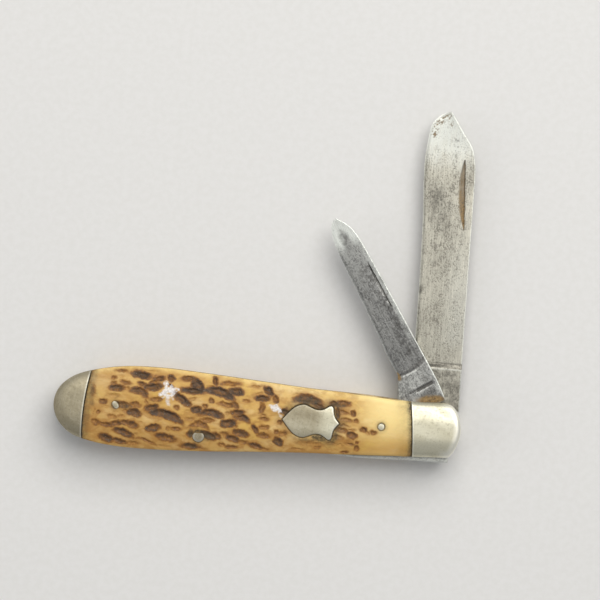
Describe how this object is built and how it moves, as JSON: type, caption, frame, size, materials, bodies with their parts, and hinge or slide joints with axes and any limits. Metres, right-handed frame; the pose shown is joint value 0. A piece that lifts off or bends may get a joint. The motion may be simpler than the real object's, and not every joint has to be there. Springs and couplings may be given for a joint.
{
  "type": "whittling knife",
  "caption": "Two-blade folding whittling knife: teardrop handle with jigged bone scales, metal bolsters, spear blade and pen blade on slip-joint springs.",
  "frame": {"origin": "on the blades' pivot axis, at the outer flat of the pile-side front bolster", "axes": "+X along the handle to the pivot end; +Y the side where the blades come out; +Z through the thickness to the mark side"},
  "size_m": [0.0855, 0.0756, 0.0107],
  "materials": {
    "bone": "jigged dyed bone, satin",
    "nickel_silver": "nickel silver, worn satin",
    "brass": "brass, darkened with age",
    "spring_steel": "carbon steel, worn satin",
    "blade_steel": "carbon steel, grey patina, satin"
  },
  "bodies": {
    "handle": {"mark_scale": "bone", "pile_scale": "bone", "mark_front_bolster": "nickel_silver", "pile_front_bolster": "nickel_silver", "mark_rear_bolster": "nickel_silver", "pile_rear_bolster": "nickel_silver", "mark_liner": "brass", "center_liner": "brass", "pile_liner": "brass", "shield": "nickel_silver", "shield_pin_front": "nickel_silver", "shield_pin_rear": "nickel_silver", "pivot_pin": "nickel_silver", "center_spring_pin": "nickel_silver", "rear_spring_pin": "nickel_silver", "mark_scale_pin_front": "nickel_silver", "mark_scale_pin_rear": "nickel_silver", "pile_scale_pin_front": "nickel_silver", "pile_scale_pin_rear": "nickel_silver", "main_spring_root": "spring_steel", "pen_spring_root": "spring_steel"},
    "main_blade": {"main_blade": "blade_steel"},
    "pen_blade": {"pen_blade": "blade_steel"},
    "main_spring": {"main_spring_arm": "spring_steel"},
    "pen_spring": {"pen_spring_arm": "spring_steel"}
  },
  "joints": [
    {"name": "main_blade_pivot", "type": "hinge", "parent": "handle", "child": "main_blade", "pos_m": [0, 0, 0.00425], "axis": [0, 0, -1], "range_deg": [-83, 90]},
    {"name": "pen_blade_pivot", "type": "hinge", "parent": "handle", "child": "pen_blade", "pos_m": [0, 0, 0.00665], "axis": [0, 0, -1], "range_deg": [-52, 123]},
    {"name": "main_spring_flex", "type": "hinge", "parent": "handle", "child": "main_spring", "pos_m": [-0.022, -0.00535, 0.00425], "axis": [0, 0, -1], "range_deg": [0, 1.8], "stiffness_Nm_per_rad": 3, "deforming": ["main_spring_arm"]},
    {"name": "pen_spring_flex", "type": "hinge", "parent": "handle", "child": "pen_spring", "pos_m": [-0.022, -0.00535, 0.00665], "axis": [0, 0, -1], "range_deg": [-1.8, 0], "stiffness_Nm_per_rad": 3, "deforming": ["pen_spring_arm"]}
  ]
}
